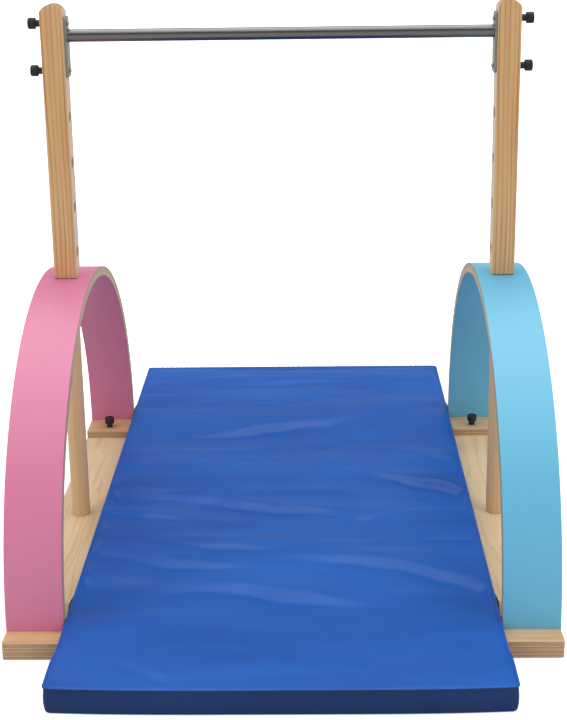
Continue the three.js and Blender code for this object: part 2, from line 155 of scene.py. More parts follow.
class Finish:
    """A procedural material while its nodes are wired together."""

    def __init__(self, name, **sockets):
        self.material = bpy.data.materials.new(name)
        self.material.use_nodes = True
        self.tree = self.material.node_tree
        self.shader = self.tree.nodes["Principled BSDF"]
        for socket, value in sockets.items():
            self.shader.inputs[socket.replace("_", " ")].default_value = value
        coordinates = self.tree.nodes.new("ShaderNodeTexCoord")
        self.place = coordinates.outputs["Object"]
        self.x, self.y, self.z = self.parts(self.place)
        self.normal_x, self.normal_y, self.normal_z = self.parts(coordinates.outputs["Normal"])
        self.last_bump = None

    def feed(self, socket, value):
        if isinstance(value, bpy.types.NodeSocket):
            self.tree.links.new(value, socket)
        else:
            socket.default_value = value

    def parts(self, vector):
        node = self.tree.nodes.new("ShaderNodeSeparateXYZ")
        self.feed(node.inputs[0], vector)
        return node.outputs

    def vector(self, x, y, z):
        node = self.tree.nodes.new("ShaderNodeCombineXYZ")
        for socket, value in zip(node.inputs, (x, y, z)):
            self.feed(socket, value)
        return node.outputs[0]

    def math(self, operation, *values):
        node = self.tree.nodes.new("ShaderNodeMath")
        node.operation = operation
        for socket, value in zip(node.inputs, values):
            self.feed(socket, value)
        return node.outputs[0]

    def sample(self, texture, place):
        """A texture node read at a place, or at the coordinates stretched along each axis: three
        numbers in cycles a metre, with other coordinates behind them if it isn't the object's."""
        if isinstance(place, tuple):
            stretch = self.tree.nodes.new("ShaderNodeVectorMath")
            stretch.operation = "MULTIPLY"
            self.feed(stretch.inputs[0], place[3] if len(place) > 3 else self.place)
            stretch.inputs[1].default_value = place[:3]
            place = stretch.outputs[0]
        node = self.tree.nodes.new(texture)
        self.feed(node.inputs["Vector"], place)
        node.inputs["Scale"].default_value = 1.0
        return node

    def noise(self, place, detail=2.0, roughness=0.5, distortion=0.0):
        node = self.sample("ShaderNodeTexNoise", place)
        node.inputs["Detail"].default_value = detail
        node.inputs["Roughness"].default_value = roughness
        node.inputs["Distortion"].default_value = distortion
        return node.outputs["Fac"]

    def random(self, value):
        node = self.tree.nodes.new("ShaderNodeTexWhiteNoise")
        node.noise_dimensions = "1D"
        self.feed(node.inputs["W"], value)
        return node.outputs["Value"]

    def cells(self, place):
        return self.sample("ShaderNodeTexVoronoi", place).outputs["Distance"]

    def ramp(self, factor, *stops):
        """A colour, or a grey for a single number, that follows the factor through the stops."""
        node = self.tree.nodes.new("ShaderNodeValToRGB")
        set_stops(node, stops)
        self.feed(node.inputs[0], factor)
        return node.outputs["Color"]

    def mix(self, factor, first, second, mode="MIX"):
        node = self.tree.nodes.new("ShaderNodeMix")
        node.data_type = "RGBA"
        node.blend_type = mode
        for index, value in ((0, factor), (6, first), (7, second)):
            self.feed(node.inputs[index], value)
        return node.outputs[2]

    def tint(self, colour, factor, low, high):
        """The colour made darker or lighter by a factor from 0 to 1, between two shares."""
        return self.mix(1.0, colour, self.ramp(factor, (0.0, low), (1.0, high)), "MULTIPLY")

    def relief(self, height, distance, strength=1.0):
        """Raises the surface by a height from 0 to 1 of that many metres."""
        node = self.tree.nodes.new("ShaderNodeBump")
        node.inputs["Strength"].default_value = strength
        node.inputs["Distance"].default_value = distance
        self.feed(node.inputs["Height"], height)
        if self.last_bump:
            self.feed(node.inputs["Normal"], self.last_bump)
        self.last_bump = node.outputs[0]
        self.feed(self.shader.inputs["Normal"], self.last_bump)

    def facing(self, normal, low, high):
        """A share that grows as the surface turns towards an axis, between two parts of its normal."""
        return self.ramp(self.math("ABSOLUTE", normal), (low, 0.0), (high, 1.0))

    def colour(self, value):
        self.feed(self.shader.inputs["Base Color"], value)

    def rough(self, factor, low, high):
        self.feed(self.shader.inputs["Roughness"], self.ramp(factor, (0.0, low), (1.0, high)))


def veneer(finish, across, up, along, pale, warm, line):
    """Birch cut as a sheet: wandering growth lines, fine fibres and soft clouding. across, up and
    along are the axes' stretches for the broad figure; returns its colour and its fibres."""
    figure = finish.noise((across, up, along), 2.0, 0.55, 0.35)
    rings = finish.math("PINGPONG", finish.math("MULTIPLY", figure, 9.0), 1.0)
    fibres = finish.noise((across * 60, up * 60, along * 16), 3.0, 0.6)
    clouds = finish.noise((9, 7, 8), 2.0)
    base = finish.mix(finish.ramp(clouds, (0.3, 0.0), (0.7, 1.0)), pale, warm)
    ringed = finish.mix(finish.ramp(rings, (0.0, 0.85), (0.3, 0.12), (1.0, 0.0)), base, line)
    return finish.tint(ringed, fibres, 0.9, 1.08), fibres


def ply_edge(finish, depth, ply, run, light, dark, glue):
    """The cut edge of plywood. depth is the distance through the sheet, and run is how the
    coordinates are stretched so that the long fibres of every second ply follow the edge."""
    waver = finish.noise((14, 14, 14), 2.0)
    wavering = finish.math("MULTIPLY_ADD", waver, 0.5, finish.math("DIVIDE", depth, ply))
    layer = finish.math("FLOOR", wavering)
    within = finish.math("FRACT", wavering)
    shade = finish.random(layer)
    streaks = finish.noise(run, 3.0, 0.65)
    pores = finish.noise((900, 900, 900), 1.0)
    every_second = finish.math("FLOORED_MODULO", layer, 2.0)
    long_ply = finish.tint(finish.mix(shade, light, dark), streaks, 0.8, 1.15)
    end_ply = finish.tint(finish.mix(shade, light, dark), pores, 0.62, 1.05)
    plies = finish.mix(every_second, long_ply, end_ply)
    joint = finish.ramp(within, (0.0, 1.0), (0.10, 0.6), (0.22, 0.0), (0.86, 0.0), (1.0, 1.0))
    return finish.mix(joint, plies, glue), within


BOARD_TONES = srgb(226, 200, 160), srgb(218, 190, 148), srgb(204, 172, 130)
CLEAT_TONES = srgb(212, 178, 134), srgb(208, 168, 122), srgb(192, 150, 104)
ARCH_TONES = srgb(222, 196, 162), srgb(214, 180, 138), srgb(184, 146, 104)
EDGE_LIGHT = srgb(232, 196, 154)
EDGE_DARK = srgb(190, 148, 108)
GLUE = srgb(96, 62, 42)
SHEET_PLY = 0.0021
ARCH_PLY = 0.0023


def board_plywood(name, level, figure, run, tones):
    """A flat sheet of birch plywood whose underside is at that level."""
    finish = Finish(name, Roughness=0.42, Coat_Weight=0.25, Coat_Roughness=0.25)
    face, fibres = veneer(finish, *figure, *tones)
    depth = finish.math("SUBTRACT", finish.z, level)
    edge, within = ply_edge(finish, depth, SHEET_PLY, run, EDGE_LIGHT, EDGE_DARK, GLUE)
    flat = finish.facing(finish.normal_z, 0.5, 0.75)
    finish.colour(finish.mix(flat, edge, face))
    finish.rough(fibres, 0.36, 0.55)
    finish.relief(fibres, 0.00006)
    groove = finish.ramp(within, (0.0, 0.0), (0.15, 1.0))
    finish.relief(finish.mix(flat, groove, (1, 1, 1, 1)), 0.00012)
    return finish.material


def arch_plywood(name, centre_y, centre_z):
    """Bent plywood whose plies follow the arch."""
    finish = Finish(name, Roughness=0.5, Coat_Weight=0.15, Coat_Roughness=0.3)
    out = finish.math("SUBTRACT", finish.y, centre_y)
    up = finish.math("SUBTRACT", finish.z, centre_z)
    squares = finish.math("ADD", finish.math("POWER", out, 2.0), finish.math("POWER", up, 2.0))
    radius = finish.math("SQRT", squares)
    turn = finish.math("ARCTAN2", up, out)
    run = finish.vector(finish.math("MULTIPLY", radius, 700.0), finish.math("MULTIPLY", turn, 22.0), 0.0)
    edge, within = ply_edge(
        finish, radius, ARCH_PLY, run, srgb(226, 200, 162), srgb(190, 158, 120), srgb(138, 104, 76)
    )
    face, fibres = veneer(finish, 20, 20, 1.5, *ARCH_TONES)
    side = finish.facing(finish.normal_x, 0.5, 0.75)
    finish.colour(finish.mix(side, face, edge))
    finish.rough(fibres, 0.42, 0.6)
    finish.relief(finish.ramp(within, (0.0, 0.0), (0.15, 1.0), (0.9, 1.0), (1.0, 0.2)), 0.00012)
    return finish.material


def post_wood(name, centre_x, arch_top):
    """A post glued up from boards: strong upright growth lines in front and behind, pale sides, and
    plainer wood in the round column below the arch's top."""
    finish = Finish(name, Roughness=0.42, Coat_Weight=0.3, Coat_Roughness=0.22)
    shifted = finish.vector(finish.math("SUBTRACT", finish.x, centre_x), finish.y, finish.z)
    drift = finish.noise((17, 6, 1.5, shifted), 2.0, 0.5)
    across = finish.math("MULTIPLY", finish.math("SUBTRACT", finish.x, centre_x), 170.0)
    rings = finish.math("PINGPONG", finish.math("MULTIPLY_ADD", drift, 4.0, across), 1.0)
    patches = finish.noise((40, 20, 2.2, shifted), 1.0)
    strong = finish.ramp(patches, (0.35, 0.35), (0.62, 1.0))
    fibres = finish.noise((1100, 1100, 26, shifted), 3.0, 0.6)
    streaks = finish.noise((150, 60, 1.6, shifted), 2.0, 0.55)
    clouds = finish.noise((22, 10, 3.0, shifted), 1.0)
    warmth = finish.ramp(clouds, (0.3, 0.0), (0.68, 1.0))
    honey = finish.mix(warmth, srgb(226, 184, 128), srgb(218, 166, 108))
    line = finish.ramp(rings, (0.0, 0.85), (0.15, 0.5), (0.4, 0.15), (1.0, 0.0))
    lined = finish.mix(finish.math("MULTIPLY", line, strong), honey, srgb(152, 90, 42))
    front = finish.tint(lined, streaks, 0.8, 1.12)
    side_figure = finish.noise((12, 30, 1.4, shifted), 2.0, 0.5, 0.3)
    side_warmth = finish.ramp(side_figure, (0.35, 0.0), (0.65, 1.0))
    side = finish.mix(side_warmth, srgb(226, 206, 178), srgb(216, 186, 150))
    side = finish.tint(side, streaks, 0.93, 1.05)
    facing_side = finish.facing(finish.normal_x, 0.72, 0.86)
    above_arch = finish.math("GREATER_THAN", finish.z, arch_top)
    pale = finish.math("MULTIPLY", facing_side, above_arch)
    column = finish.tint(finish.mix(0.3, honey, srgb(226, 198, 160)), streaks, 0.84, 1.12)
    upright = finish.mix(above_arch, column, finish.mix(pale, front, side))
    end_grain = finish.ramp(finish.normal_z, (0.35, 0.0), (0.9, 0.45))
    finish.colour(finish.tint(finish.mix(end_grain, upright, srgb(140, 100, 64)), fibres, 0.9, 1.08))
    finish.rough(fibres, 0.36, 0.52)
    finish.relief(fibres, 0.00007)
    finish.relief(rings, 0.00010, 0.6)
    return finish.material


def laminate(name, colour, edge_colour):
    """High-pressure laminate: a smooth satin colour, with its darker core along the cut edges."""
    finish = Finish(name, Roughness=0.4, Specular_IOR_Level=0.8)
    clouds = finish.noise((5, 5, 5), 2.0)
    peel = finish.noise((320, 320, 320), 2.0)
    satin = finish.noise((60, 60, 60), 3.0)
    cut_edge = finish.facing(finish.normal_x, 0.6, 0.85)
    face = finish.tint(finish.tint(colour, clouds, 0.97, 1.03), peel, 0.985, 1.015)
    finish.colour(finish.mix(cut_edge, face, finish.tint(edge_colour, satin, 0.75, 1.2)))
    finish.rough(satin, 0.40, 0.5)
    finish.relief(peel, 0.00003)
    return finish.material


def metal(name, colour, low, high, grain, depth):
    """Bare or plated metal. grain is the stretch of its finest marks."""
    finish = Finish(name, Metallic=1.0)
    marks = finish.noise(grain, 3.0, 0.65)
    clouds = finish.noise((30, 30, 30), 2.0)
    finish.colour(finish.tint(finish.tint(colour, marks, 0.9, 1.08), clouds, 0.94, 1.04))
    finish.rough(finish.mix(0.5, marks, clouds), low, high)
    finish.relief(marks, depth)
    return finish.material


def black_plastic():
    """Moulded glass-filled nylon with a fine spark-eroded texture, a little paler in soft clouds."""
    finish = Finish("black_nylon", Specular_IOR_Level=0.5)
    pebbles = finish.cells((1500, 1500, 1500))
    clouds = finish.noise((90, 90, 90), 3.0)
    dust = finish.ramp(clouds, (0.3, 0.0), (0.8, 1.0))
    finish.colour(finish.mix(dust, srgb(19, 17, 17), srgb(32, 29, 27)))
    finish.rough(clouds, 0.38, 0.56)
    finish.relief(pebbles, 0.00005)
    return finish.material


def rubber():
    finish = Finish("anti_slip_rubber", Specular_IOR_Level=0.35)
    crumbs = finish.cells((420, 420, 420))
    clouds = finish.noise((40, 40, 40), 3.0)
    finish.colour(finish.tint(finish.mix(clouds, srgb(30, 30, 30), srgb(52, 50, 48)), crumbs, 0.7, 1.2))
    finish.rough(clouds, 0.75, 0.95)
    finish.relief(crumbs, 0.0004)
    return finish.material


def coated_fabric():
    """PVC-coated polyester: the scrim's weave shows through a soft, faintly clouded skin, with painted shade
    on its sides.
    """
    finish = Finish("blue_coated_fabric", Specular_IOR_Level=0.3)
    scrim = 2 * math.pi / 0.0011
    warp = finish.math("SINE", finish.math("MULTIPLY", finish.x, scrim))
    weft = finish.math("SINE", finish.math("MULTIPLY", finish.y, scrim))
    rise = finish.math("SINE", finish.math("MULTIPLY", finish.z, scrim))
    crossing = finish.math("ADD", finish.math("MULTIPLY", warp, weft), rise)
    weave = finish.math("MULTIPLY_ADD", crossing, 0.25, 0.5)
    clouds = finish.noise((1.6, 7, 6), 3.0, 0.6)
    scuffs = finish.noise((60, 140, 60), 4.0, 0.7)
    blue = finish.mix(finish.ramp(clouds, (0.3, 0.0), (0.7, 1.0)), srgb(8, 74, 158), srgb(16, 88, 176))
    # Painted shade: faces that turn away from straight up, the mat's sides and ends, are darkened to about a
    # third of the blue.
    painted_side_shade = finish.ramp(finish.math("ABSOLUTE", finish.normal_z), (0.3, 0.32), (0.75, 1.0))
    cloth = finish.tint(finish.tint(blue, scuffs, 0.93, 1.07), weave, 0.96, 1.03)
    finish.colour(finish.mix(1.0, cloth, painted_side_shade, "MULTIPLY"))
    finish.rough(scuffs, 0.38, 0.5)
    finish.relief(weave, 0.00004)
    finish.relief(scuffs, 0.00010)
    return finish.material


def webbing():
    """Black polyester strap: herringbone across its width, with shallow ribs along it."""
    finish = Finish("black_webbing", Specular_IOR_Level=0.3, Sheen_Weight=0.25, Sheen_Roughness=0.5)
    rib = 2 * math.pi / 0.0016
    slant = finish.math("PINGPONG", finish.z, 0.0025)
    yarns = finish.math("SINE", finish.math("MULTIPLY", finish.math("ADD", finish.y, slant), rib))
    weave = finish.math("MULTIPLY_ADD", yarns, 0.5, 0.5)
    fuzz = finish.noise((900, 900, 900), 3.0)
    finish.colour(finish.tint(finish.mix(fuzz, srgb(12, 12, 13), srgb(24, 24, 27)), weave, 0.6, 1.25))
    finish.rough(fuzz, 0.7, 0.9)
    finish.relief(weave, 0.0003)
    finish.relief(fuzz, 0.00008)
    return finish.material


def thread():
    finish = Finish("blue_thread", Specular_IOR_Level=0.3)
    twist = finish.noise((1800, 1800, 1800), 2.0)
    finish.colour(finish.mix(twist, srgb(24, 62, 130), srgb(60, 104, 176)))
    finish.rough(twist, 0.55, 0.75)
    finish.relief(twist, 0.00008)
    return finish.material


def pale_floor():
    """White to the camera, and greyer to everything the floor throws light back at."""
    finish = Finish("floor", Specular_IOR_Level=0.1)
    clouds = finish.noise((2, 2, 2), 2.0)
    seen = finish.tree.nodes.new("ShaderNodeLightPath").outputs["Is Camera Ray"]
    white = finish.mix(clouds, (0.93, 0.93, 0.93, 1), (0.95, 0.95, 0.95, 1))
    finish.colour(finish.mix(seen, (0.64, 0.64, 0.64, 1), white))
    finish.rough(clouds, 0.85, 0.95)
    finish.feed(finish.shader.inputs["Emission Color"], (1.0, 1.0, 1.0, 1.0))
    finish.feed(finish.shader.inputs["Emission Strength"], finish.math("MULTIPLY", seen, FLOOR_GLOW))
    return finish.material


# Shares and mesh helpers.


def share(value):
    """The value kept between 0 and 1."""
    return min(max(value, 0.0), 1.0)


def eased(t):
    """A share, or an array of them, that sets off and arrives gently."""
    return t * t * (3 - 2 * t)


def mesh_of(name, vertices, faces, material, sharp=None):
    """A smooth mesh, with hard edges where its faces meet at more than that many degrees."""
    mesh = bpy.data.meshes.new(name)
    mesh.from_pydata([tuple(v) for v in vertices], [], faces)
    mesh.update()
    mesh.materials.append(material)
    mesh.shade_smooth()
    if sharp:
        mesh.set_sharp_from_angle(angle=math.radians(sharp))
    return mesh


def piece(name, vertices, faces, material, body, slot):
    """A form in its place, as an object that rides on a body."""
    mesh = mesh_of(name, vertices, faces, material)
    return placed(name, mesh, Matrix.Identity(4), body)


def placed(name, mesh, matrix, body):
    made = link(name, mesh)
    made.matrix_world = matrix
    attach(made, body)
    return made


def lathe(outline, segments, radius_at=None):
    """Vertices and faces of an outline of (radius, level) points turned about Z, bottom to top.
    A radius of 0 closes the form. radius_at(radius, level, angle) may change a radius."""
    vertices, faces, rings = [], [], []
    for radius, level in outline:
        if radius == 0:
            rings.append([len(vertices)])
            vertices.append((0.0, 0.0, level))
            continue
        ring = []
        for step in range(segments):
            angle = 2 * math.pi * step / segments
            r = radius_at(radius, level, angle) if radius_at else radius
            ring.append(len(vertices))
            vertices.append((r * math.cos(angle), r * math.sin(angle), level))
        rings.append(ring)
    for low, high in zip(rings, rings[1:]):
        for step in range(segments):
            after = (step + 1) % segments
            if len(low) == 1:
                faces.append((low[0], high[after], high[step]))
            elif len(high) == 1:
                faces.append((low[step], low[after], high[0]))
            else:
                faces.append((low[step], low[after], high[after], high[step]))
    return vertices, faces


def closed_lathe(outline, segments, radius_at=None):
    """The same for a ring, whose outline ends on the point it starts from."""
    vertices, faces = lathe(outline, segments, radius_at)
    last = len(vertices) - segments
    return vertices[:last], [tuple(v % last for v in face) for face in faces]


def quads(rows, columns):
    """Faces between neighbouring points of a grid."""
    corners = (0, 1, columns + 1, columns)
    return [
        tuple(r * columns + c + corner for corner in corners)
        for r in range(rows - 1) for c in range(columns - 1)
    ]


def skin(rows, loop, base=0, inside_out=False):
    """Faces of a closed form that is a row of loops, with its two ends."""
    faces = []
    for row in range(rows - 1):
        near, far = base + row * loop, base + (row + 1) * loop
        for corner in range(loop):
            after = (corner + 1) % loop
            faces.append((near + corner, near + after, far + after, far + corner))
    faces.append(tuple(base + corner for corner in reversed(range(loop))))
    faces.append(tuple(base + (rows - 1) * loop + corner for corner in range(loop)))
    return [face[::-1] for face in faces] if inside_out else faces


def merged(forms):
    """Several (vertices, faces) pairs as one."""
    vertices, faces = [], []
    for more_vertices, more_faces in forms:
        base = len(vertices)
        vertices += more_vertices
        faces += [tuple(base + v for v in face) for face in more_faces]
    return vertices, faces


def rectangle(name, reach_x, reach_y):
    """A flat mesh on z = 0."""
    corners = [(x * reach_x, y * reach_y, 0) for x, y in ((-1, -1), (1, -1), (1, 1), (-1, 1))]
    mesh = bpy.data.meshes.new(name)
    mesh.from_pydata(corners, [], [(0, 1, 2, 3)])
    return mesh


def arc(centre, radius, first, last, steps):
    """Points on an arc, angles in degrees, as (radius, level) pairs of an outline."""
    angles = [math.radians(first + (last - first) * i / steps) for i in range(steps + 1)]
    return [(centre[0] + radius * math.cos(a), centre[1] + radius * math.sin(a)) for a in angles]


def soften(name, material, width, segments=2):
    """Gives a CAD node its finish and eased edges."""
    node = nodes[name]
    node.data.materials.clear()
    node.data.materials.append(material)
    node.data.shade_smooth()
    weld = node.modifiers.new("weld", "WELD")
    weld.merge_threshold = 1e-5
    merge = node.modifiers.new("merge_flats", "DECIMATE")
    merge.decimate_type = "DISSOLVE"
    merge.angle_limit = math.radians(0.5)
    ease = node.modifiers.new("ease_edges", "BEVEL")
    ease.width = width
    ease.segments = segments
    ease.limit_method = "ANGLE"
    ease.angle_limit = math.radians(28)
    ease.harden_normals = True
    ease.miter_outer = "MITER_ARC"
    even = node.modifiers.new("even_normals", "WEIGHTED_NORMAL")
    even.keep_sharp = True


# Hardware.

THREAD_PITCH = 0.00125
THREAD_DEPTH = 0.00065
FLUTES = 20
KNOB_HEIGHT = 0.032
TUBE_WALL = 0.003


def node_axis(name):
    """A node's centre, and the length of its box along each axis."""
    low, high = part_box(name)
    return (low + high) / 2, high - low


def knob_head():
    """A round clamp knob standing on z = 0: neck, fluted head and a cap pressed into its top."""
    neck, rim = 0.00925, 0.0145
    outline = (
        [(0, 0.0), (neck - 0.0012, 0.0)]
        + arc((neck - 0.0008, 0.0008), 0.0008, -90, 0, 3)
        + [(neck - 0.0004, 0.005), (neck - 0.0003, 0.009)]
        + arc((neck + 0.0022, 0.0098), 0.0024, 180, 90, 4)
        + arc((rim - 0.0022, 0.0142), 0.0022, -90, 0, 4)
        + [(rim, 0.0185), (rim, 0.0235), (rim, 0.0272)]
        + arc((rim - 0.0034, 0.0280), 0.0034, 0, 72, 6)
        + [(0.0088, 0.0317), (0.0082, 0.0316), (0.0080, 0.0311), (0.0074, 0.0311), (0.0071, 0.0315)]
        + [(0.004, 0.0318), (0, 0.0319)]
    )

    def fluted(radius, level, angle):
        grip = max(0.0, min(1.0, (radius - 0.0125) / 0.0015)) * (0.0125 < level < 0.0295)
        return radius - 0.0007 * grip * max(0.0, math.cos(FLUTES * angle)) ** 2

    return lathe(outline, 160, fluted)


def stud(length):
    """A threaded stud hanging down from z = 0."""
    sides, step = 20, THREAD_PITCH / 6
    outer = 0.0040
    rows = int(length / step)

    def threaded(radius, level, angle):
        phase = (level / THREAD_PITCH - angle / (2 * math.pi)) % 1.0
        tip = min(1.0, (level + length) / (2 * THREAD_PITCH))
        return outer - THREAD_DEPTH * (1 - abs(2 * phase - 1)) - (1 - tip) * 0.0008

    outline = [(0, -length)]
    outline += [(outer, -length + step * row) for row in range(rows + 1)]
    outline += [(0, -length + step * rows + 1e-5)]
    return lathe(outline, sides, threaded)


def washer(outer, bore, thickness):
    edge = 0.0003
    outline = (
        [(bore, edge), (bore + edge, 0.0), (outer - edge, 0.0), (outer, edge)]
        + [(outer, thickness - edge * 2), (outer - edge * 2, thickness)]
        + [(bore + edge, thickness), (bore, thickness - edge), (bore, edge)]
    )
    return closed_lathe(outline, 64)


def cap_nut():
    """A low domed nut standing on z = 0, its hexagon's corners turned off."""
    flat, height, dome, rise = 0.0065, 0.0025, 0.0056, 0.0025

    def hexagonal(radius, level, angle):
        if level > height - 1e-6 or radius < flat * 0.98:
            return radius
        sector = (angle % (math.pi / 3)) - math.pi / 6
        corner = flat / math.cos(sector)
        turned_off = 0.0072 + 0.0004 * (1 - abs(2 * level / height - 1))
        return min(corner, turned_off)

    crown = [(radius, height + level * rise / dome) for radius, level in arc((0, 0), dome, 5, 84, 9)]
    outline = (
        [(0, 0.0), (0.0060, 0.0), (flat, 0.0002), (flat, 0.0006), (flat, 0.00125), (flat, 0.0019)]
        + [(flat, 0.0023), (0.0062, height), (dome, height + 0.0001)]
        + crown
        + [(0, height + rise)]
    )
    return lathe(outline, 96, hexagonal)


def set_at(point, axis):
    """Takes the origin to a point and +Z to an axis."""
    return Matrix.Translation(point) @ axis.to_track_quat("Z", "Y").to_matrix().to_4x4()


def make_knobs(plastic, zinc):
    head = mesh_of("knob_head", *knob_head(), plastic, 35)
    studs = {}
    for side_name, side in SIDES:
        names = [(f"{side_name}_{end}_cleat_knob", Vector((0, 0, 1))) for end, _ in ENDS]
        names += [(f"{side_name}_{level}_bar_knob", Vector((side, 0, 0))) for level in LEVELS]
        for name, outward in names:
            low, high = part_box(name)
            centre = (low + high) / 2
            tip = max(high.dot(outward), low.dot(outward))
            reach = (high - low).dot(Vector(map(abs, outward))) - KNOB_HEIGHT
            seat = centre + outward * (tip - KNOB_HEIGHT - centre.dot(outward))
            matrix = set_at(seat, outward)
            knob = placed(name + "_grip", head, matrix, name)
            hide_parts(name)
            length = round(reach - 0.0004, 4)
            if length not in studs:
                studs[length] = mesh_of(f"stud_{round(length * 1000)}", *stud(length), zinc, 60)
            placed(name + "_stud", studs[length], matrix, name)
            ring_name = name + "_washer"
            ring_centre, ring_size = node_axis(ring_name)
            thickness = ring_size.dot(Vector(map(abs, outward)))
            if "washer" not in bpy.data.meshes:
                mesh_of("washer", *washer(0.012, 0.0045, thickness), zinc, 25)
            ring_matrix = set_at(ring_centre - outward * thickness / 2, outward)
            ring = placed(ring_name + "_plated", bpy.data.meshes["washer"], ring_matrix, ring_name)
            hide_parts(ring_name)


def make_bar(steel, zinc):
    low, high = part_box("bar_tube")
    centre = (low + high) / 2
    half = (high.x - low.x) / 2
    radius = (high.z - low.z) / 2
    bore = radius - TUBE_WALL
    outline = (
        [(bore, -half + 0.0006), (bore + 0.0006, -half)]
        + [(radius - 0.0004, -half), (radius, -half + 0.0004)]
        + [(radius, -half + 2 * half * i / 12) for i in range(1, 12)]
        + [(radius, half - 0.0004), (radius - 0.0004, half)]
        + [(bore + 0.0006, half), (bore, half - 0.0006)]
        + [(bore, -half + 0.0006)]
    )
    tube_mesh = mesh_of("round_tube", *closed_lathe(outline, 96), steel, 30)
    matrix = set_at(centre, Vector((1, 0, 0)))
    tube = placed("bar_tube_round", tube_mesh, matrix, "bar")
    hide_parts("bar_tube")

    def rippled(r, level, angle):
        return r + (0.00022 * math.cos(38 * angle + 900 * level) if r > radius + 0.0003 else 0)

    seat = radius - 0.0005
    bead = arc((radius - 0.0003, 0.0), 0.0024, 0, 90, 6) + [(seat, 0.0012), (seat, 0.0)]
    bead_mesh = mesh_of("weld_bead", *closed_lathe(bead + bead[:1], 228, rippled), steel, 50)
    for side_name, side in SIDES:
        inward = Vector((-side, 0, 0))
        foot = centre - inward * (half + 0.0003)
        matrix = set_at(foot, inward)
        placed(f"{side_name}_bar_weld", bead_mesh, matrix, "bar")

    nut_mesh = mesh_of("cap_nut", *cap_nut(), zinc, 28)
    for side_name, side in SIDES:
        for level in LEVELS:
            name = f"{side_name}_{level}_cap_nut"
            low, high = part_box(name)
            inward = Vector((-side, 0, 0))
            base = (low + high) / 2
            base.x = low.x if side < 0 else high.x
            matrix = set_at(base, inward)
            nut = placed(name + "_domed", nut_mesh, matrix, "bar")
            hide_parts(name)


# The mat.

MAT_CORNER = 0.014
SEAM_INSET = 0.010
TOP_LEVEL = 0.0636
GRID_PITCH = 0.008
CLOTH_PITCH = 0.025
CLOTH_FRAMES = 40
CLOTH = {
    "quality": 6, "mass": 0.05, "air_damping": 2, "shear_stiffness": 20, "bending_stiffness": 20,
    "tension_stiffness": 60, "compression_stiffness": 60,
}
CLOTH_SLACK = 0.05
# How much of the simulated slack, the long creases and the small wrinkles shows in the cover, how
# far in from the seam they are held down, and the height they never pass.
SLACK_SHARE = 1.6
CREASE_SHARE = 2.4
WRINKLE_SHARE = 2.3
SEAM_HOLDS = 0.022
FOLD_LIMIT = 0.014


def slack_heights(half_x, half_y):
    """How far a cover that is cut too long rises off its foam, by cloth simulation: a grid of
    heights over the mat, rows from front to rear."""
    columns = round(2 * half_x / CLOTH_PITCH) + 1
    rows = round(2 * half_y / CLOTH_PITCH) + 1
    xs = np.linspace(-half_x, half_x, columns)
    ys = np.linspace(-half_y, half_y, rows)
    start = 0.0022
    points = []
    for row, y in enumerate(ys):
        for column, x in enumerate(xs):
            free = 0 < row < rows - 1 and 0 < column < columns - 1
            ripple = 0.0012 * noise.noise(Vector((2.2 * x + 0.35 * y, 17 * y, 4.0)))
            points.append(Vector((x, y, start + (ripple if free else 0.0))))
    mesh = bpy.data.meshes.new("slack_sheet")
    mesh.from_pydata(points, [], quads(rows, columns))
    sheet = link("slack_sheet", mesh)
    foam_top = link("foam_top", rectangle("foam_top", 1.2 * half_x, 1.1 * half_y))
    border = [
        r * columns + c for r in range(rows) for c in range(columns)
        if r in (0, rows - 1) or c in (0, columns - 1)
    ]
    sheet.vertex_groups.new(name="border").add(border, 1.0, "ADD")
    sheet.shape_key_add(name="Basis")
    cut_shape = sheet.shape_key_add(name="cut")
    rearward = 1 / (1 + np.exp(-(ys + 0.45) / 0.05))
    stretch = 1 + CLOTH_SLACK * (0.25 + 0.75 * rearward)
    cut_y = np.concatenate([[0.0], np.cumsum((stretch[1:] + stretch[:-1]) / 2 * np.diff(ys))])
    cut_y -= cut_y.mean()
    for index, point in enumerate(points):
        cut_shape.data[index].co = Vector((point.x, cut_y[index // columns], point.z))
    cut_shape.value = 0.0
    foam_top.modifiers.new("collision", "COLLISION")
    foam_top.collision.thickness_outer = 0.001
    cloth = sheet.modifiers.new("cloth", "CLOTH")
    settings = cloth.settings
    for name, value in CLOTH.items():
        setattr(settings, name, value)
    settings.vertex_group_mass = "border"
    settings.rest_shape_key = cut_shape
    settings.effector_weights.gravity = 0.3
    cloth.collision_settings.distance_min = 0.001
    cloth.collision_settings.use_self_collision = False
    cloth.point_cache.frame_end = CLOTH_FRAMES
    scene = bpy.context.scene
    for step in range(1, CLOTH_FRAMES + 1):
        scene.frame_set(step)
    settled = sheet.evaluated_get(bpy.context.evaluated_depsgraph_get()).to_mesh()
    heights = np.array([v.co.z for v in settled.vertices]).reshape(rows, columns) - start
    scene.frame_set(1)
    for made in (sheet, foam_top):
        bpy.data.objects.remove(made)
    return xs, ys, heights


def blurred(grid, across, along):
    """The grid smoothed by that many passes over its columns and over its rows."""
    for axis, passes in ((1, across), (0, along)):
        for _ in range(passes):
            padding = [(1, 1) if a == axis else (0, 0) for a in (0, 1)]
            wide = np.pad(grid, padding, "edge")
            low = wide[:-2] if axis == 0 else wide[:, :-2]
            high = wide[2:] if axis == 0 else wide[:, 2:]
            grid = (low + 2 * grid + high) / 4
    return grid


def sampled(xs, ys, grid, x, y):
    """The grid's value between its points, with smooth steps from one to the next."""
    column = (x - xs[0]) / (xs[1] - xs[0])
    row = (y - ys[0]) / (ys[1] - ys[0])
    c = np.clip(column.astype(int), 0, len(xs) - 2)
    r = np.clip(row.astype(int), 0, len(ys) - 2)
    u, v = np.clip(column - c, 0, 1), np.clip(row - r, 0, 1)
    u, v = eased(u), eased(v)
    front = grid[r, c] * (1 - u) + grid[r, c + 1] * u
    rear = grid[r + 1, c] * (1 - u) + grid[r + 1, c + 1] * u
    return front * (1 - v) + rear * v


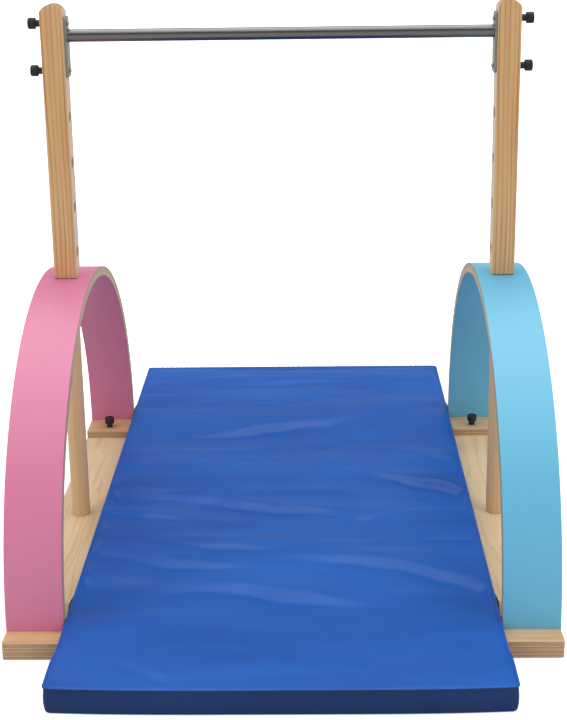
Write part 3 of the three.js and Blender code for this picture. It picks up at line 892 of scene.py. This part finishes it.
# Long creases in the cover: three points it passes through (x, y), its height, its width, and how
# far it reaches inward from each of its ends before it is at its full height.
CREASES = (
    ((-0.50, 0.00), (0.00, -0.12), (0.36, -0.21), 0.0042, 0.022, 0.26),
    ((0.50, -0.02), (0.30, 0.08), (0.06, 0.17), 0.0046, 0.020, 0.24),
    ((-0.42, 0.37), (0.00, 0.47), (0.46, 0.62), 0.0036, 0.026, 0.16),
    ((-0.48, 0.24), (-0.10, 0.27), (0.25, 0.36), 0.0020, 0.024, 0.15),
    ((-0.50, -0.52), (-0.10, -0.56), (0.32, -0.70), 0.0046, 0.026, 0.3),
    ((0.50, -0.56), (0.25, -0.44), (-0.05, -0.40), 0.0044, 0.024, 0.26),
    ((-0.50, -0.26), (-0.22, -0.34), (0.05, -0.37), 0.0034, 0.017, 0.24),
    ((-0.50, -0.13), (-0.25, -0.20), (0.00, -0.24), 0.0026, 0.016, 0.24),
    ((-0.50, -0.38), (-0.25, -0.44), (0.02, -0.48), 0.0028, 0.016, 0.24),
    ((0.50, -0.12), (0.25, -0.16), (0.05, -0.27), 0.0030, 0.018, 0.24),
    ((0.50, -0.28), (0.28, -0.33), (0.00, -0.36), 0.0026, 0.017, 0.24),
    ((0.50, 0.20), (0.25, 0.27), (-0.05, 0.31), 0.0020, 0.020, 0.26),
    ((-0.45, 0.62), (0.00, 0.68), (0.40, 0.78), 0.0020, 0.026, 0.18),
    ((-0.35, 0.82), (0.05, 0.86), (0.42, 0.90), 0.0016, 0.024, 0.16),
    ((-0.42, -0.72), (-0.24, -0.74), (-0.06, -0.90), 0.0015, 0.020, 0.26),
    ((-0.02, -0.78), (0.10, -0.86), (0.20, -0.96), 0.0013, 0.018, 0.24),
    ((-0.40, -0.88), (-0.30, -0.92), (-0.22, -0.98), 0.0016, 0.012, 0.05),
)
# Where the foam gives: the middle of each dip (x, y), its half-sizes and its depth.
DIPS = (
    ((-0.52, -0.62), (0.24, 0.065), 0.0085),
    ((0.52, -0.62), (0.26, 0.065), 0.0085),
    ((-0.52, -0.06), (0.22, 0.055), 0.0075),
    ((0.52, -0.06), (0.24, 0.055), 0.0070),
    ((0.00, -0.05), (0.50, 0.120), 0.0015),
    ((0.05, 0.36), (0.50, 0.080), 0.0020),
)


def crease_heights(x, y):
    total = np.zeros_like(x)
    for first, middle, last, height, width, taper in CREASES:
        line = np.polyfit([p[0] for p in (first, middle, last)], [p[1] for p in (first, middle, last)], 2)
        wander = 0.006 * np.sin(19 * x + 40 * first[1]) + 0.003 * np.sin(47 * x + 13 * middle[1])
        away = (y - np.polyval(line, x) - wander) / width
        low_x, high_x = sorted((first[0], last[0]))
        inside = np.minimum(
            (x - low_x) / taper + (1.0 if low_x <= -0.5 else 0.0),
            (high_x - x) / taper + (1.0 if high_x >= 0.5 else 0.0),
        )
        inside = np.clip(inside, 0, 1)
        uneven = 0.75 + 0.35 * np.sin(11 * x + 31 * middle[1])
        behind = np.exp(-((np.maximum(away, 0) / 2.6) ** 2))
        in_front = np.exp(-((np.minimum(away, 0) / 0.95) ** 2))
        profile = behind * in_front - 0.5 * np.exp(-((away + 1.6) ** 2))
        total += height * uneven * eased(inside) * profile
    for (dip_x, dip_y), (half_x, half_y), depth in DIPS:
        total -= depth * np.exp(-((x - dip_x) / half_x) ** 2 - ((y - dip_y) / half_y) ** 2)
    return total


def small_wrinkles(x, y):
    """Short, shallow wrinkles that run across the mat, livelier behind and towards its sides."""
    out = np.zeros_like(x)
    flat_x, flat_y, flat_out = x.ravel(), y.ravel(), out.ravel()
    for index, (px, py) in enumerate(zip(flat_x, flat_y)):
        lively = 0.35 + 0.65 / (1 + math.exp(-(py + 0.5) / 0.06))
        wavy = py + 0.03 * noise.noise(Vector((3.1 * px, 2.0 * py, 1.0)))
        fine = noise.noise(Vector((3.4 * px, 34 * wavy, 7.0)))
        broad = noise.noise(Vector((1.6 * px, 12 * wavy, 3.0)))
        edge = 0.7 + 0.6 * abs(2 * px) ** 3
        swell = noise.noise(Vector((1.1 * px + 2.2 * py, 4.6 * wavy, 11.0)))
        flat_out[index] = lively * edge * (0.0012 * fine + 0.0024 * broad) + 0.0042 * swell * calm(py)
    return flat_out.reshape(x.shape)


def calm(y):
    """Less swell where the mat lies free in front of the frames."""
    return 0.35 + 0.65 * share((y + 0.85) / 0.3)


def line_places(half, pitch, fine):
    """Grid lines from -half to half, closer together at both ends."""
    inner = half - fine[-1]
    steps = round(2 * inner / pitch)
    middle = [-inner + 2 * inner * i / steps for i in range(steps + 1)]
    return [-half + f for f in fine[:-1]] + middle + [half - f for f in reversed(fine[:-1])]


def rounded_in(x, y, half_x, half_y, corner):
    """A point of a rectangle's border or inside, moved in where the corner is round."""
    over_x, over_y = abs(x) - (half_x - corner), abs(y) - (half_y - corner)
    if over_x <= 0 or over_y <= 0:
        return x, y
    reach = max(over_x, over_y)
    length = math.hypot(over_x, over_y)
    scale = reach / length
    return (
        math.copysign(half_x - corner + over_x * scale, x),
        math.copysign(half_y - corner + over_y * scale, y),
    )


def make_mat(fabric):
    """The padded mat: a crowned top with creases, a welt seam round its top edge, soft sides."""
    low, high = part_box("mat_cover")
    half_x, half_y = (high.x - low.x) / 2, (high.y - low.y) / 2
    fine = (0.0, 0.003, 0.007, 0.012)
    inner_x, inner_y = half_x - SEAM_INSET, half_y - SEAM_INSET
    xs = line_places(inner_x, GRID_PITCH, fine)
    ys = line_places(inner_y, GRID_PITCH, fine)
    grid_x, grid_y = np.meshgrid(np.array(xs), np.array(ys))
    cloth_xs, cloth_ys, cloth = slack_heights(inner_x, inner_y)
    cloth = blurred(cloth, 5, 1)
    heights = SLACK_SHARE * sampled(cloth_xs, cloth_ys, cloth, grid_x, grid_y)
    heights += CREASE_SHARE * crease_heights(grid_x, grid_y)
    heights += WRINKLE_SHARE * small_wrinkles(grid_x, grid_y)
    edge_x = np.clip((inner_x - np.abs(grid_x)) / SEAM_HOLDS, 0, 1)
    edge_y = np.clip((inner_y - np.abs(grid_y)) / SEAM_HOLDS, 0, 1)
    edge = np.minimum(edge_x, edge_y)
    edge = 0.25 * (edge > 0) + 0.75 * eased(edge)
    heights = FOLD_LIMIT * np.tanh(heights / FOLD_LIMIT) * edge
    columns, rows = len(xs), len(ys)
    vertices = []
    for row in range(rows):
        for column in range(columns):
            x, y = rounded_in(xs[column], ys[row], inner_x, inner_y, MAT_CORNER - 0.004)
            vertices.append((x, y, TOP_LEVEL + heights[row, column]))
    faces = quads(rows, columns)
    border = [(c, 0) for c in range(columns)]
    border += [(columns - 1, r) for r in range(1, rows)]
    border += [(c, rows - 1) for c in range(columns - 2, -1, -1)]
    border += [(0, r) for r in range(rows - 2, 0, -1)]
    ring = [r * columns + c for c, r in border]
    # How the side runs down from the top panel: (inset from the outline, level, how far it waves).
    profile = [
        (0.0076, 0.0630, 0.0), (0.0062, 0.0624, 0.0), (0.0054, 0.0634, 0.0), (0.0040, 0.0648, 0.0),
        (0.0022, 0.0649, 0.0), (0.0008, 0.0640, 0.0), (0.0004, 0.0625, 0.0), (0.0010, 0.0611, 0.0),
        (0.0026, 0.0603, 0.0), (0.0034, 0.0592, 0.1), (0.0028, 0.0572, 0.3), (0.0022, 0.0530, 0.7),
        (0.0017, 0.0480, 1.0), (0.0012, 0.0430, 1.0), (0.0009, 0.0380, 1.0), (0.0008, 0.0330, 1.0),
        (0.0009, 0.0280, 1.0), (0.0011, 0.0230, 1.0), (0.0014, 0.0180, 0.9), (0.0018, 0.0130, 0.7),
        (0.0026, 0.0085, 0.4), (0.0040, 0.0046, 0.2), (0.0064, 0.0018, 0.0), (0.0100, 0.0004, 0.0),
        (0.0160, 0.0, 0.0), (0.0400, 0.0, 0.0),
    ]
    previous = ring
    for inset, level, wave in profile:
        out_x, out_y = half_x - inset, half_y - inset
        corner = max(MAT_CORNER - inset, 0.003)
        current = []
        for column, row in border:
            x = xs[column] * out_x / inner_x
            y = ys[row] * out_y / inner_y
            x, y = rounded_in(x, y, out_x, out_y, corner)
            on_end = abs(y) > out_y - 0.001
            dent = wave * side_dent(x, y, level, on_end)
            piped = inset < 0.007 and level > 0.06
            pucker = 0.0005 * math.sin((x if on_end else y) * 2 * math.pi / 0.017) if piped else 0.0
            if on_end:
                y -= math.copysign(dent, y)
            elif abs(x) > out_x - 0.001:
                x -= math.copysign(dent, x)
            current.append(len(vertices))
            vertices.append((x, y, level + pucker))
        for step in range(len(border)):
            after = (step + 1) % len(border)
            faces.append((previous[after], previous[step], current[step], current[after]))
        previous = current
    faces.append(tuple(previous))
    vertices = [spread(*vertex) for vertex in vertices]
    mat = piece("landing_mat", vertices, faces, fabric, "mat", "mat_cover")
    mat.data.validate()
    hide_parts("mat_cover", "mat_foam")


def spread(x, y, z):
    """Where the filling pushes the cover out: the top seam, and the end in front of the frames."""
    near_side = min(abs(x) / 0.5, 1.0) ** 8
    seam = share((z - 0.050) / 0.008)
    flare = eased(share((-0.81 - y) / 0.1))
    end = share((-0.9 - y) / 0.1)
    out = near_side * max(0.0035 * seam, 0.0085 * flare)
    return x + math.copysign(out, x), y - 0.012 * end * (1 - (abs(x) / 0.52) ** 4), z


def side_dent(x, y, level, on_end):
    """How far the side panel is pulled in: slanting drag lines, deeper at the front and rear."""
    run = x if on_end else y
    slant = noise.noise(Vector((9 * run + 0.8 * level / 0.065, 22 * level, 5.0 if on_end else 9.0)))
    sharp = noise.noise(Vector((26 * run - 1.4 * level / 0.065, 14 * level, 2.0)))
    depth = 0.0024 if on_end else 0.0012
    return depth * (0.5 + slant) + 0.6 * depth * abs(sharp)


# Straps, stitches and the zip.

STRAP_WIDTH = 0.030
STRAP_THICKNESS = 0.0016
STRAP_BULGE = 0.0026
STRAP_RISE = 0.002


def strap(side, centre, length, face_x):
    """A carrying strap laid against the mat's side, standing away from it in the middle."""
    steps, section = 48, 10
    vertices = []
    for step in range(steps + 1):
        t = step / steps
        free = max(0.0, 1 - abs(2 * t - 1) / 0.68)
        bow = eased(free)
        y = centre.y - length / 2 + length * t
        x = face_x + side * (0.0003 + STRAP_BULGE * bow)
        z = centre.z + STRAP_RISE * bow
        lean = 0.35 * bow
        for corner in range(2 * section):
            on_top = corner < section
            across = (corner % section) / (section - 1) - 0.5
            across = across if on_top else -across
            thin = STRAP_THICKNESS * math.sqrt(max(0.0, 1 - (2 * abs(across)) ** 6)) * 0.5 + 0.00012
            outward = STRAP_THICKNESS / 2 + (thin if on_top else -thin)
            vertices.append((
                x + side * (outward * math.cos(lean) + across * STRAP_WIDTH * math.sin(lean)),
                y,
                z + across * STRAP_WIDTH * math.cos(lean) - outward * math.sin(lean),
            ))
    return vertices, skin(steps + 1, 2 * section, inside_out=side > 0)


def stitch_lines(lines, out, stitch=0.0042, gap=0.0012, radius=0.0004):
    """Short raised stitches along straight lines; out is the way they stand proud."""
    vertices, faces = [], []
    for first, last in lines:
        first, last = Vector(first), Vector(last)
        along = (last - first).normalized()
        across = along.cross(out)
        count = max(1, int((last - first).length / (stitch + gap)))
        for index in range(count):
            start = first + along * index * (stitch + gap)
            base = len(vertices)
            for step, swell in enumerate((0.15, 0.8, 1.0, 0.8, 0.15)):
                middle = start + along * stitch * step / 4
                for turn in range(6):
                    angle = 2 * math.pi * turn / 6
                    offset = across * math.cos(angle) + out * math.sin(angle)
                    vertices.append(middle + offset * radius * swell)
            faces += skin(5, 6, base)
    return vertices, faces


def make_handles(tape, yarn):
    for side_name, side in SIDES:
        for end_name, _ in ENDS:
            name = f"{side_name}_{end_name}_mat_handle"
            low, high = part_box(name)
            centre, length = (low + high) / 2, high.y - low.y
            face_x = low.x if side > 0 else high.x
            form = strap(side, centre, length, face_x)
            strap_piece = piece(name + "_strap", *form, tape, "mat", "webbing")
            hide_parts(name)
            out = Vector((side, 0, 0))
            x = face_x + side * (STRAP_THICKNESS + 0.0004)
            lines = []
            for end in (-1, 1):
                near, far = centre.y + end * (length / 2 - 0.004), centre.y + end * (length / 2 - 0.030)
                bottom, top = centre.z - 0.0125, centre.z + 0.0125
                corners = [(x, near, bottom), (x, near, top), (x, far, top), (x, far, bottom)]
                lines += list(zip(corners, corners[1:] + corners[:1]))
                lines += [(corners[0], corners[2]), (corners[1], corners[3])]
            piece(name + "_stitches", *stitch_lines(lines, out), yarn, "mat", "webbing")


ZIP_FROM_SIDE = 0.07
ZIP_WIDTH = 0.026
ZIP_PROUD = 0.0012
TOOTH_PITCH = 0.0036


def zip_sway(x):
    """How far the zip strays from a straight line."""
    return 0.0006 * math.sin(21 * x) + 0.0004 * math.sin(53 * x)


def make_zip(tape, plastic, zinc):
    """The zip in the mat's rear end: its tape, its coil of teeth and its slider."""
    low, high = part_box("mat_cover")
    half, y, z = high.x - ZIP_FROM_SIDE, high.y - 0.0009, (low.z + high.z) / 2
    steps = 120
    section = [(-0.5, 0.0), (-0.47, 0.7), (-0.2, 1.0), (0.2, 1.0), (0.47, 0.7), (0.5, 0.0)]
    section += [(0.3, -0.6), (-0.3, -0.6)]
    vertices = []
    for step in range(steps + 1):
        x = -half + 2 * half * step / steps
        for across, out in section:
            vertices.append((x, y + out * ZIP_PROUD, z + across * ZIP_WIDTH + zip_sway(x)))
    piece("mat_zip_tape", vertices, skin(steps + 1, len(section)), tape, "mat", "webbing")
    teeth = []
    for index in range(int((2 * half - 0.03) / TOOTH_PITCH)):
        x = -half + 0.015 + index * TOOTH_PITCH
        for x_shift, z_shift in ((0.0, -0.0009), (TOOTH_PITCH / 2, 0.0009)):
            middle = Vector((x + x_shift, y + ZIP_PROUD + 0.0005, z + zip_sway(x) + z_shift))
            teeth.append(rounded_block(middle, (0.0008, 0.0009, 0.0019), 0.0003))
    piece("mat_zip_teeth", *merged(teeth), plastic, "mat", "webbing")
    slider = Vector((-half + 0.022, y + ZIP_PROUD, z))
    body = rounded_block(slider + Vector((0, 0.0016, 0)), (0.0060, 0.0014, 0.0042), 0.0010)
    bridge = rounded_block(slider + Vector((0.001, 0.0036, 0)), (0.0022, 0.0012, 0.0010), 0.0006)
    pull = rounded_block(slider + Vector((0.001, 0.0034, -0.0105)), (0.0030, 0.0005, 0.0100), 0.0004)
    piece("mat_zip_slider", *merged((body, bridge, pull)), zinc, "mat", "zinc")


def rounded_block(middle, halves, edge):
    """A block with its edges and corners cut off in one step."""
    vertices, faces, index = [], [], {}

    def corner(which, signs):
        return index[(which, tuple(signs))]

    for axis in range(3):
        for signs in product((-1, 1), repeat=3):
            offset = [signs[i] * (halves[i] if i == axis else halves[i] - edge) for i in range(3)]
            index[(axis, signs)] = len(vertices)
            vertices.append(middle + Vector(offset))
    for axis in range(3):
        first, second = [i for i in range(3) if i != axis]

        def signs_at(on_axis, on_first, on_second):
            signs = [0, 0, 0]
            signs[axis], signs[first], signs[second] = on_axis, on_first, on_second
            return signs

        for sign in (-1, 1):
            quad = tuple(corner(axis, signs_at(sign, a, b)) for a, b in ((-1, -1), (1, -1), (1, 1), (-1, 1)))
            faces.append(quad if (sign > 0) == (axis != 1) else quad[::-1])
        for a, b in product((-1, 1), repeat=2):
            ends = ((first, -1), (first, 1), (second, 1), (second, -1))
            quad = tuple(corner(which, signs_at(along, a, b)) for which, along in ends)
            faces.append(quad if (a * b > 0) == (axis == 1) else quad[::-1])
    for signs in product((-1, 1), repeat=3):
        triangle = tuple(corner(axis, signs) for axis in range(3))
        faces.append(triangle if math.prod(signs) > 0 else triangle[::-1])
    return vertices, faces


def make_floor(material):
    mesh = rectangle("floor", FLOOR_REACH, FLOOR_REACH)
    mesh.materials.append(material)
    floor = link("floor", mesh)


# The scene.

make_camera()
make_world()
make_sun("left_light", LEFT_FROM, LEFT_STRENGTH, SIDE_ANGLE)
make_sun("right_light", RIGHT_FROM, RIGHT_STRENGTH, SIDE_ANGLE)
make_sun("rear_light", REAR_FROM, REAR_STRENGTH, REAR_ANGLE)
make_floor(pale_floor())
bpy.context.scene.view_settings.view_transform = "Standard"

bar_steel = metal("bar_steel", srgb(122, 121, 119), 0.26, 0.36, (40, 1400, 1400), 0.00002)
plate_steel = metal("plate_steel", srgb(150, 142, 130), 0.30, 0.42, (900, 900, 120), 0.00003)
zinc = metal("zinc_plate", srgb(190, 190, 186), 0.24, 0.38, (700, 700, 700), 0.00003)
brass = metal("brass", srgb(206, 172, 104), 0.24, 0.36, (700, 700, 700), 0.00003)
plastic = black_plastic()
pad_rubber = rubber()
fabric = coated_fabric()
tape = webbing()
yarn = thread()

COLOURS = {
    "left": (srgb(213, 119, 156), srgb(128, 84, 74)),
    "right": (srgb(96, 182, 216), srgb(92, 96, 92)),
}

for side_name, side in SIDES:
    board = f"{side_name}_base_board"
    board_low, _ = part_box(board)
    post_low, post_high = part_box(f"{side_name}_post")
    centre_x, centre_y = (post_low.x + post_high.x) / 2, (post_low.y + post_high.y) / 2
    board_look = (board_low.z, (26, 1.6, 26), (700, 22, 700), BOARD_TONES)
    soften(board, board_plywood(f"{side_name}_board_plywood", *board_look), 0.0012)
    arch_low, arch_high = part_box(f"{side_name}_arch_outer_laminate")
    core_finish = arch_plywood(f"{side_name}_arch_plywood", centre_y, arch_low.z)
    soften(f"{side_name}_arch_core", core_finish, 0.0006)
    sheet_finish = laminate(f"{side_name}_laminate", *COLOURS[side_name])
    for layer in ("outer", "inner"):
        soften(f"{side_name}_arch_{layer}_laminate", sheet_finish, 0.0003)
    soften(f"{side_name}_post", post_wood(f"{side_name}_post_wood", centre_x, arch_high.z), 0.0009)
    soften(f"{side_name}_bar_plate", plate_steel, 0.0007)
    soften(f"{side_name}_post_bolt", zinc, 0.0003)
    for end_name, _ in ENDS:
        cleat = f"{side_name}_{end_name}_cleat"
        cleat_low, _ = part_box(cleat)
        cleat_look = (cleat_low.z, (1.8, 30, 30), (22, 700, 700), CLEAT_TONES)
        soften(cleat, board_plywood(cleat + "_plywood", *cleat_look), 0.0018, 3)
        soften(f"{side_name}_{end_name}_pad", pad_rubber, 0.0004)
        soften(f"{side_name}_{end_name}_foot_screw", zinc, 0.0003)
        soften(f"{side_name}_{end_name}_cleat_insert", brass, 0.0003)

make_knobs(plastic, zinc)
make_bar(bar_steel, zinc)
make_mat(fabric)
make_handles(tape, yarn)
make_zip(tape, plastic, zinc)
